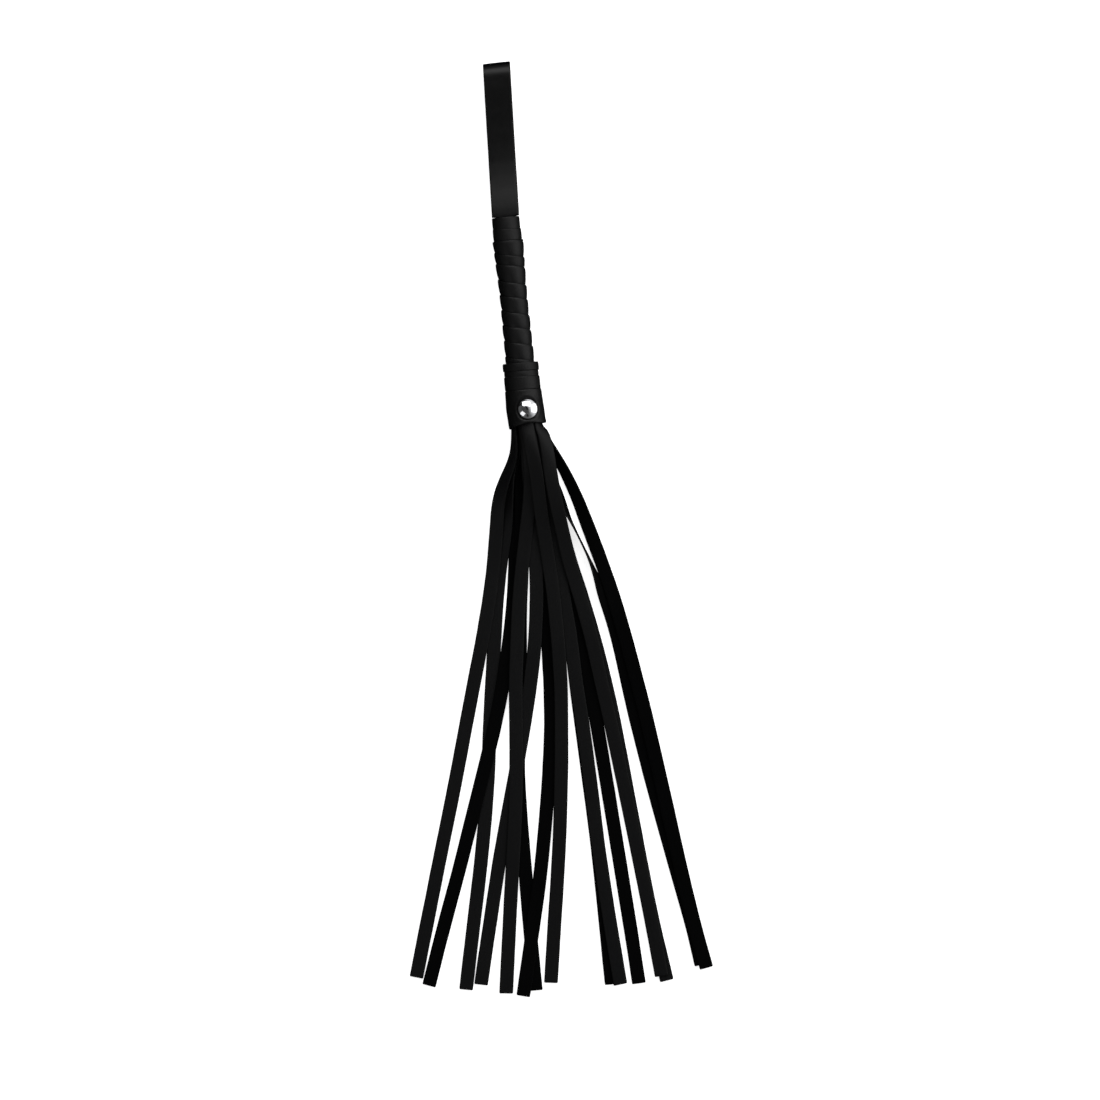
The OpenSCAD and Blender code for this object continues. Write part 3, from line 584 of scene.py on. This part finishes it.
def make_strap():
    line = [tuple(p) for p in UPPER]
    line += [(FOLD_Y + FOLD_R * math.cos(math.radians(a)), -4.675 + FOLD_R * math.sin(math.radians(a)))
             for a in range(90, -91, -15)]
    line += [tuple(p) for p in LOWER]
    line = np.array(line)
    d = np.concatenate([[0], np.cumsum(np.linalg.norm(np.diff(line, axis=0), axis=1))])
    total = d[-1]
    fine = np.arange(0, total, 0.5)
    yz = np.stack([np.interp(fine, d, line[:, 0]), np.interp(fine, d, line[:, 1])], 1)
    k = np.hanning(13)
    k /= k.sum()
    pad = np.concatenate([np.repeat(yz[:1], 6, 0), yz, np.repeat(yz[-1:], 6, 0)])
    yz = np.stack([np.convolve(pad[:, i], k, "valid") for i in (0, 1)], 1)
    keep = [i for i in range(0, len(fine), 3)]
    keep = sorted(set(keep + [i for i in range(len(fine)) if 119.5 < yz[i][0] < 122.5] + [len(fine) - 1]))
    wavy = band_noise(311, total, 40)
    wavy2 = band_noise(312, total, 40)
    twist = band_noise(313, total, 120)
    h, w = STRAP_T / 2, STRAP_W / 2
    top = [(-w, 0.25), (-w + 0.06, 0.5), (-w + 0.2, 0.66), (-w + 0.45, 0.76), (-w + 0.9, 0.80), (-w + 1.8, 0.82), (-w * 0.5, 0.82),
           (-w * 0.25, 0.82), (0, 0.82)]
    top = top + [(-u, v) for u, v in reversed(top[:-1])]
    low = [(w, -0.45), (w - 0.08, -0.66), (w - 0.35, -0.78), (w * 0.6, -0.80), (w * 0.3, -0.80), (0, -0.80)]
    low = low + [(-u, v) for u, v in reversed(low[:-1])]
    section = top + low
    rings, ss, path = [], [], []
    shoulder = 120.95
    for i in keep:
        y, z = yz[i]
        a, b = yz[max(0, i - 2)], yz[min(len(yz) - 1, i + 2)]
        t = (b - a) / np.linalg.norm(b - a)
        ny, nz = -t[1], t[0]
        s = fine[i]
        inner = min(s, total - s)
        # the strap narrows in a short shoulder where it goes under the band
        f = np.clip((y - shoulder) / 0.5, 0, 1)
        f = f * f * (3 - 2 * f)
        half = (TONGUE_W / 2 + (w - TONGUE_W / 2) * f) / w
        cx = 0.041 * max(0, y - 119)
        tw = math.radians(0.8 * float(twist(s)) * f)
        cup = 0.12 * f * (1 if y < 198 else 0.4)
        ring = []
        for j, (u, v) in enumerate(section):
            u2 = u * half * (1 + 0.004 * float(wavy(s) if u < 0 else wavy2(s)) * f)
            v2 = v - cup * ((u / w) ** 2 - 0.4)
            dx, dn = u2 * math.cos(tw) - v2 * math.sin(tw) * 0, v2 + u2 * math.sin(tw)
            ring.append(np.array([cx + dx, y + ny * dn, z + nz * dn]) + MOUTH)
        rings.append(ring)
        ss.append(s)
        path.append(np.array([cx, y, z]) + MOUTH)
    m = len(section)
    us = [0.0]
    for i in range(m):
        a, b = section[i], section[(i + 1) % m]
        us.append(us[-1] + math.hypot(b[0] - a[0], b[1] - a[1]))
    us = np.array(us) - us[len(top) // 2]
    nt = len(top)
    mat_of = [2 if (j < 1 or nt - 2 < j < nt + 1 or j >= m - 2) else 0 if j < nt - 1 else 1 for j in range(m)]
    obj = loft("wrist_loop_strap", rings, ss, us, [STRAP_GRAIN, STRAP_BACK, STRAP_EDGE], mat_of, end_mat=2, sharp=50)
    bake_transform(obj)
    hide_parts("wrist_strap")
    return obj


# ------------------------------------------------------------------ handle
GRIP = [[20, 8.6], [36, 8.55], [50, 8.2], [73, 8.0], [85, 8.2], [96, 8.6], [107.2, 9.0]]


def grip_r(y):
    return float(np.interp(y, [g[0] for g in GRIP], [g[1] for g in GRIP]))


def smooth_steps(xs, ys):
    """A monotone curve through a few points."""
    xs, ys = np.array(xs, float), np.array(ys, float)
    h, d = np.diff(xs), np.diff(ys) / np.diff(xs)
    m = np.concatenate([[d[0]], 2 / (1 / d[:-1] + 1 / d[1:]), [d[-1]]])

    def f(x):
        x = min(max(x, xs[0]), xs[-1])
        i = min(len(h) - 1, int(np.searchsorted(xs, x, side="right") - 1))
        t = (x - xs[i]) / h[i]
        return float((2 * t ** 3 - 3 * t ** 2 + 1) * ys[i] + (t ** 3 - 2 * t ** 2 + t) * h[i] * m[i]
                     + (-2 * t ** 3 + 3 * t ** 2) * ys[i + 1] + (t ** 3 - t ** 2) * h[i] * m[i + 1])
    return f


def make_grip():
    """One strip wound in a spiral. The upper edge of each turn lies over the start of the next."""
    edge = smooth_steps([-1.75, -0.75, 0.25, 1.25, 2.25, 3.25, 4.25, 5.25, 6.25, 7.25, 8.25, 9.25, 10.25],
                        [12, 21, 30, 38.2, 47.4, 56.6, 65.2, 74.2, 82.6, 92.8, 98.6, 108.2, 117])
    per = 72
    wob = band_noise(401, 10, 1.9, 7)
    puff = band_noise(402, 10, 2.7, 7)
    rings, ss, s = [], [], 0.0
    last = None
    lap = 0.9
    for i in range(int(-0.9 * per), int(10.3 * per) + 1):
        turn = i / per
        a = 2 * math.pi * turn
        y0, y1 = edge(turn - 1), edge(turn) + 0.10 * float(wob(turn))
        y0 += 0.10 * float(wob(turn - 1))
        y0c, y1c = max(20.9, y0 - lap), min(107.25, y1)
        if y1c - max(20.9, y0) < 0.2 or y0 > 107.0:
            continue
        ring = []
        fat = 0.04 + 0.12 * float(puff(turn))
        span = y1c - y0c
        # outer side from the lower (tucked) edge to the upper (raised) one, then back along the core
        for f, dr in ((0.0, -0.92), (0.03, -0.84), (0.10, -0.70), (0.16, -0.50), (0.24, -0.34), (0.36, -0.17), (0.5, -0.06), (0.64, 0.02), (0.78, 0.07),
                      (0.88, 0.08), (0.94, 0.03), (0.975, -0.10), (0.993, -0.22), (1.0, -0.38)):
            y = y0c + f * span
            r = grip_r(y) + dr + fat * math.sin(math.pi * min(1, max(0, f)))
            ring.append((r, y))
        for f, dr in ((1.0, -0.62), (0.985, -0.74), (0.6, -1.30), (0.3, -1.38), (0.0, -1.38)):
            y = y0c + f * span
            ring.append((grip_r(y) + dr, y))
        pts = [np.array([r * math.cos(a), y, r * math.sin(a)]) + MOUTH for r, y in ring]
        if last is not None:
            s += float(np.linalg.norm(pts[7] - last))
        last = pts[7]
        rings.append(pts)
        ss.append(s)
    m = len(rings[0])
    us = np.concatenate([np.linspace(-5, 5, 14), np.linspace(5.6, 16, m + 1 - 14)])
    mat_of = [1 if j in (11, 12, 13, 14) else 0 for j in range(m)]
    obj = loft("spiral_grip", rings, ss, us, [GRIP_GRAIN, STRAP_EDGE], mat_of, end_mat=1, sharp=48)
    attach(obj, "handle")
    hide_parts("grip_wrap")
    return obj


def revolve(name, profile, mats, mat_of, steps, offset, body="handle", sharp=42, gap=None):
    """A ring of leather: profile (y, r) closed, with an offset (dy, dr) by angle and place on the profile."""
    rings, ss = [], []
    m = len(profile)
    lens = [0.0]
    for i in range(m):
        a, b = profile[i], profile[(i + 1) % m]
        lens.append(lens[-1] + math.hypot(b[0] - a[0], b[1] - a[1]))
    rm = sum(p[1] for p in profile) / m
    for i in range(steps + 1):
        ang = 2 * math.pi * i / steps
        ss.append(rm * ang)
        if i == steps:
            break
        ring = []
        for j, (y, r) in enumerate(profile):
            dy, dr = offset(ang, y, r, j)
            ring.append(np.array([(r + dr) * math.cos(ang), y + dy, (r + dr) * math.sin(ang)]) + MOUTH)
        rings.append(ring)
    return loft(name, rings, ss, lens, mats, mat_of, sharp=sharp, wrap_length=True)


def circle_noise(seed, count=7):
    r = np.random.default_rng(seed)
    k = np.arange(1, count + 1)
    p = r.uniform(0, 2 * math.pi, count)
    a = r.uniform(0.5, 1, count) / k ** 0.7
    a /= math.sqrt((a * a).sum() / 2) * 1.6
    return lambda ang: float((a * np.sin(k * ang + p)).sum())


def thong(y0, y1, r_in, r_out, r_edge0=None, r_edge1=None):
    """The section of one turn of thong: flat on the core, rounded at its outer edges."""
    out = [(y0, r_in), (y0, r_in + 0.25 * (r_out - r_in))]
    d0, d1 = (r_edge0 or 0.55), (r_edge1 or 0.55)
    for f, g in ((0.0, 0.45), (0.08, 0.20), (0.22, 0.07), (0.5, 0.015), (1.0, 0.0)):
        out.append((y0 + f * 1.2, r_out - g * d0 * 1.6))
    for f in (0.35, 0.5, 0.65):
        out.append((y0 + (y1 - y0) * f, r_out + 0.035))
    for f, g in ((1.0, 0.0), (0.5, 0.015), (0.22, 0.07), (0.08, 0.20), (0.0, 0.45)):
        out.append((y1 - f * 1.2, r_out - g * d1 * 1.6))
    out += [(y1, r_in + 0.25 * (r_out - r_in)), (y1, r_in)]
    return out


def make_bands():
    made = []
    # lower band: three turns, each edge wavering a little, the middle one narrow
    turns = [(20.38, 28.15, 8.66, 10.34, 0.0, 0.25), (27.8, 31.75, 8.66, 9.94, 0.25, 0.3), (31.4, 36.1, 8.66, 10.42, 0.3, 0.15)]
    for i, (y0, y1, ri, ro, t0, t1) in enumerate(turns):
        prof = thong(y0, y1, ri, ro)
        na, nb = circle_noise(500 + i), circle_noise(510 + i)

        def offset(ang, y, r, j, y0=y0, y1=y1, ri=ri, t0=t0, t1=t1, na=na, nb=nb):
            f = (y - y0) / (y1 - y0)
            tilt = -math.cos(ang)
            dy = (1 - f) * t0 * tilt + f * t1 * tilt + (0.05 * na(ang) if 0.1 < f < 0.9 else 0.04 * na(ang) * (t0 + t1 > 0))
            if i == 0 and f < 0.5:
                dy = max(dy, 0.0)
            return dy, (0.05 * nb(ang) if r > ri + 0.2 else 0)
        made.append(revolve("lower_thong_%d" % (i + 1), prof, [BAND_GRAIN], [0] * len(prof), 144, offset))
    for o in made:
        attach(o, "handle")
        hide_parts("lower_band")
    tops = [(107.15, 113.95, 7.16, 8.26), (113.70, 120.9, 7.16, 7.98)]
    join = circle_noise(530)
    for i, (y0, y1, ri, ro) in enumerate(tops):
        prof = thong(y0, y1, ri, ro, 0.4, 0.4)
        na, nb = join, circle_noise(540 + i)

        def offset(ang, y, r, j, y0=y0, y1=y1, ri=ri, na=na, nb=nb, i=i):
            f = (y - y0) / (y1 - y0)
            inner = (f if i == 0 else 1 - f)
            return inner * (-0.2 * math.cos(ang) + 0.05 * na(ang)), (0.04 * nb(ang) if r > ri + 0.15 else 0)
        o = revolve("butt_thong_%d" % (i + 1), prof, [BAND_GRAIN], [0] * len(prof), 144, offset)
        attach(o, "handle")
        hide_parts("butt_band")


RIVET_Y, RIVET_ANG, DOME_R, DOME_H, COLLAR_R = 9.0, math.radians(81), 5.7, 3.0, 11.1
RIM = COLLAR_R - 0.75


def make_collar():
    bore = 9.52
    # outer side from the mouth up, closely stepped round the rivet, then the upper end and back inside
    ys = [0.0, 0.06, 0.2, 0.45, 0.8, 1.2, 1.8] + [2.4 + 0.45 * i for i in range(31)] + [16.9, 17.6, 18.3, 19.0, 19.6, 19.95, 20.2, 20.34, 20.4]
    prof_r = [[0, 10.62], [0.06, 10.82], [0.2, 10.95], [0.45, 11.05], [0.8, 11.1], [1.8, 11.12], [9, 11.1], [15, 10.76], [19.0, 10.6],
              [19.6, 10.56], [20.0, 10.48], [20.2, 10.38], [20.34, 10.25], [20.4, 10.1]]
    prof = [(y, float(np.interp(y, [p[0] for p in prof_r], [p[1] for p in prof_r]))) for y in ys]
    n_out = len(prof)
    prof += [(20.4, bore + 0.1), (20.3, bore), (15, bore), (10, bore), (5, bore), (1.2, bore), (0.4, bore + 0.05), (0.0, bore + 0.3)]
    rim_noise, body_noise = circle_noise(601, 9), circle_noise(602, 9)
    lump = circle_noise(603, 5)

    def offset(ang, y, r, j):
        dr = dy = 0.0
        outer = j < n_out
        # the mouth rim is drawn down a little on the left, where the outer tails leave sideways
        left_side = 0.5 - 0.5 * math.cos(ang)
        mouthward = max(0.0, 1 - y / 7) ** 2
        dy += -mouthward * (1.7 * left_side ** 1.5 + 0.10 * rim_noise(ang)) + mouthward * 1.5 * max(0.0, math.sin(ang)) ** 3
        top_end = max(0.0, (y - 16) / 4.4) ** 2
        dy += top_end * 0.06 * rim_noise(ang + 2)
        if outer:
            dr += 0.05 * body_noise(ang + 0.03 * y) + 0.04 * lump(ang + 0.12 * y)
            # drawn a little oval by the tails, with a swollen rim
            right_side = max(0.0, math.cos(ang)) ** 2
            dr += 0.28 * max(0.0, 1 - y / 12) * right_side
            dr -= 0.75 * max(0.0, 1 - y / 11) ** 1.3 * max(0.0, -math.cos(ang)) ** 2
            dr += 0.22 * math.exp(-((y - 1.1) / 0.9) ** 2) * max(right_side, 0.5 * max(0.0, math.sin(ang)))
            # leather dished under the rim of the rivet, with a low swell round it
            arc = (ang - RIVET_ANG + math.pi) % (2 * math.pi) - math.pi
            d = math.hypot(arc * COLLAR_R, y - RIVET_Y)
            # the pressed ring
            dr -= 0.90 * math.exp(-((d - 5.8) / 1.0) ** 2)
            if d < 5.8:
                dr -= 0.90 * (1 - math.exp(-((d - 5.8) / 1.0) ** 2)) * (1 if d > 4.0 else (d / 4.0) ** 2)
            dr += 0.20 * math.exp(-((d - 7.7) / 0.9) ** 2)
            # short puckers that run out from the rivet
            spoke = math.atan2(y - RIVET_Y, arc * COLLAR_R)
            fade = math.exp(-((d - 8.6) / 1.7) ** 2)
            dr -= 0.09 * fade * max(0.0, math.cos(5 * spoke + 0.7)) ** 3
            # the butted seam at the back
            seam = (ang + math.pi / 2 + math.pi) % (2 * math.pi) - math.pi
            sd = abs(seam) * COLLAR_R
            dr -= 0.35 * math.exp(-(sd / 0.28) ** 2)
            dr += 0.10 * math.exp(-((sd - 0.9) / 0.5) ** 2)
        return dy, dr
    o = revolve("mouth_collar", prof, [COLLAR_GRAIN, STRAP_EDGE],
                [0 if j < n_out - 3 else 1 if (j < n_out + 1 or j >= len(prof) - 1) else 0 for j in range(len(prof))], 360, offset)
    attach(o, "handle")
    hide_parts("collar")
    return o


def make_rivet():
    """The pressed dome with its rolled rim, hollow underneath."""
    cap = 2.1
    big = (DOME_R ** 2 + cap ** 2) / (2 * cap)
    outer = [(0.0, DOME_H)]
    for i in range(1, 30):
        a = i / 29 * math.asin((DOME_R - 0.16) / big)
        outer.append((big * math.sin(a), DOME_H - big * (1 - math.cos(a))))
    outer += [(DOME_R - 0.06, DOME_H - cap + 0.02), (DOME_R, DOME_H - cap - 0.10), (DOME_R, 0.4), (DOME_R, -0.02), (DOME_R - 0.03, -0.10), (DOME_R - 0.14, -0.16), (DOME_R - 0.32, -0.15),
              (DOME_R - 0.45, -0.05)]
    inner = []
    for i in range(8, -1, -1):
        a = i / 8 * math.asin((DOME_R - 0.62) / big)
        inner.append(((big - 0.5) * math.sin(a), DOME_H - 0.5 - (big - 0.5) * (1 - math.cos(a))))
    prof = outer + inner
    steps = 128
    base = Vector((0, RIVET_Y, 0))
    out_dir = Vector((math.cos(RIVET_ANG), 0, math.sin(RIVET_ANG)))
    side = Vector((0, 1, 0))
    cross = out_dir.cross(side)
    verts, faces, uvs = [], [], []
    index = []
    for r, h in prof:
        row = []
        for i in range(steps if r > 1e-6 else 1):
            a = 2 * math.pi * i / steps
            p = base + out_dir * (RIM + h + 0.02) + side * (r * math.sin(a)) + cross * (r * math.cos(a))
            row.append(len(verts))
            verts.append(np.array(p) + MOUTH)
        index.append(row)
    for k in range(len(index) - 1):
        a, b = index[k], index[k + 1]
        for i in range(steps):
            j = (i + 1) % steps
            if len(a) == 1:
                f = (a[0], b[i], b[j])
            elif len(b) == 1:
                f = (a[i], b[0], a[j])
            else:
                f = (a[i], b[i], b[j], a[j])
            faces.append(f)
            uvs.append([(0.1 * (q % 50), 0.1 * k) for q in f])
    o = build("rivet_dome", verts, faces, uvs, [CHROME], [0] * len(faces), sharp=60)
    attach(o, "handle")
    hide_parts("rivet_cap")
    return o


make_strap()
make_grip()
make_bands()
make_collar()
make_rivet()


def give(node, material):
    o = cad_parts[node]
    o.data.materials.clear()
    o.data.materials.append(material)
    o.data.polygons.foreach_set("material_index", np.zeros(len(o.data.polygons), np.int32))


give("handle_core", WOOD)
give("rivet_nail", STEEL)


# ------------------------------------------------------------------ floor and light
def make_floor():
    m, tree, bsdf = new_material("studio_floor")
    bsdf.inputs["Base Color"].default_value = (0.93, 0.93, 0.935, 1)
    bsdf.inputs["Roughness"].default_value = 0.95
    bsdf.inputs["Specular IOR Level"].default_value = 0.0
    bsdf.inputs["Emission Color"].default_value = (1, 1, 1, 1)
    bsdf.inputs["Emission Strength"].default_value = 0.75
    mesh = bpy.data.meshes.new("floor")
    w = 40
    mesh.from_pydata([(-w, -w, -0.00012), (w, -w, -0.00012), (w, w, -0.00012), (-w, w, -0.00012)], [], [(0, 1, 2, 3)])
    mesh.materials.append(m)
    floor = bpy.data.objects.new("floor", mesh)
    scene.collection.objects.link(floor)
    floor.visible_glossy = False  # black leather on a cut-out white sheet: its sides don't mirror the sheet


make_floor()


def softbox(name, zenith, azimuth, distance, size, radiance, aim=(0.01, 0.06, 0)):
    """A rectangular softbox. zenith is the angle from straight up; azimuth is measured from +X towards +Y."""
    z, a = math.radians(zenith), math.radians(azimuth)
    d = Vector((math.sin(z) * math.cos(a), math.sin(z) * math.sin(a), math.cos(z)))
    light = bpy.data.lights.new(name, "AREA")
    light.shape = "RECTANGLE"
    light.size, light.size_y = size
    light.energy = radiance * math.pi * size[0] * size[1]
    o = bpy.data.objects.new(name, light)
    o.location = Vector(aim) + d * distance
    o.rotation_euler = d.to_track_quat("Z", "Y").to_euler()
    o.visible_camera = False
    scene.collection.objects.link(o)
    return o


softbox("key_back", 42, 82, 1.45, (1.5, 0.9), 3.4)
softbox("key_right", 65, 2, 1.4, (1.5, 1.5), 1.05)
softbox("fill_front", 44, 226, 1.7, (0.9, 0.9), 1.3)


def make_world():
    """A dim room with a pale ceiling, a little brighter towards the windows, a dark floor line, and the
    dark shape of a camera on its arm overhead, which only the polished rivet shows."""
    world = bpy.data.worlds.new("studio")
    world.use_nodes = True
    tree = world.node_tree
    n = Nodes(tree)
    sep = n.add("ShaderNodeSeparateXYZ")
    n.link(n.add("ShaderNodeTexCoord").outputs["Generated"], sep.inputs["Vector"])
    x, y, z = (sep.outputs[k] for k in "XYZ")
    level = n.remap(z, -0.04, 0.14, 0.02, 1.0, "SMOOTHSTEP")
    side = n.math("ADD", n.math("MULTIPLY", x, 0.8), n.math("MULTIPLY", y, 0.35))
    level = n.math("MULTIPLY", level, n.remap(side, -0.7, 0.8, 0.35, 1.0))

    def away(a, b, w):
        dx, dy = b[0] - a[0], b[1] - a[1]
        l2 = dx * dx + dy * dy
        px, py = n.math("SUBTRACT", x, a[0]), n.math("SUBTRACT", y, a[1])
        if l2 > 0:
            t = n.math("ADD", n.math("MULTIPLY", px, dx / l2), n.math("MULTIPLY", py, dy / l2))
            t = n.math("MINIMUM", n.math("MAXIMUM", t, 0.0), 1.0)
            px = n.math("SUBTRACT", px, n.math("MULTIPLY", t, dx))
            py = n.math("SUBTRACT", py, n.math("MULTIPLY", t, dy))
        d = n.math("SQRT", n.math("ADD", n.math("MULTIPLY", px, px), n.math("MULTIPLY", py, py)))
        return n.remap(d, w * 0.55, w, 0.0, 1.0, "SMOOTHSTEP")
    shape = n.math("MULTIPLY", away((-0.86, 0.46), (-0.14, 0.84), 0.13), away((-0.14, 0.84), (0.15, 0.02), 0.13))
    shape = n.math("MULTIPLY", shape, n.math("MULTIPLY", away((0.16, 0.0), (0.16, 0.0), 0.2), away((0.08, -0.76), (0.08, -0.76), 0.17)))
    shape = n.remap(shape, 0, 1, 0.06, 1)
    level = n.math("MULTIPLY", level, n.remap(z, 0.6, 0.93, 1.0, 0.45, "SMOOTHSTEP"))
    wall = n.remap(n.math("ADD", n.math("MULTIPLY", x, 0.95), n.math("MULTIPLY", y, 0.3)), 0.10, 0.70, 0.0, 0.72, "SMOOTHSTEP")
    wall = n.math("MULTIPLY", wall, n.remap(z, -0.02, 0.10, 0.0, 1.0, "SMOOTHSTEP"))
    strength = n.math("MULTIPLY", n.math("ADD", n.math("MULTIPLY", level, 0.24), wall), shape)
    bg = tree.nodes["Background"]
    bg.inputs["Color"].default_value = (1, 1, 1, 1)
    n.link(strength, bg.inputs["Strength"])
    scene.world = world


make_world()
scene.view_settings.view_transform = "Standard"
scene.view_settings.look = "None"
scene.view_settings.exposure = 0.0
scene.view_settings.gamma = 1.0
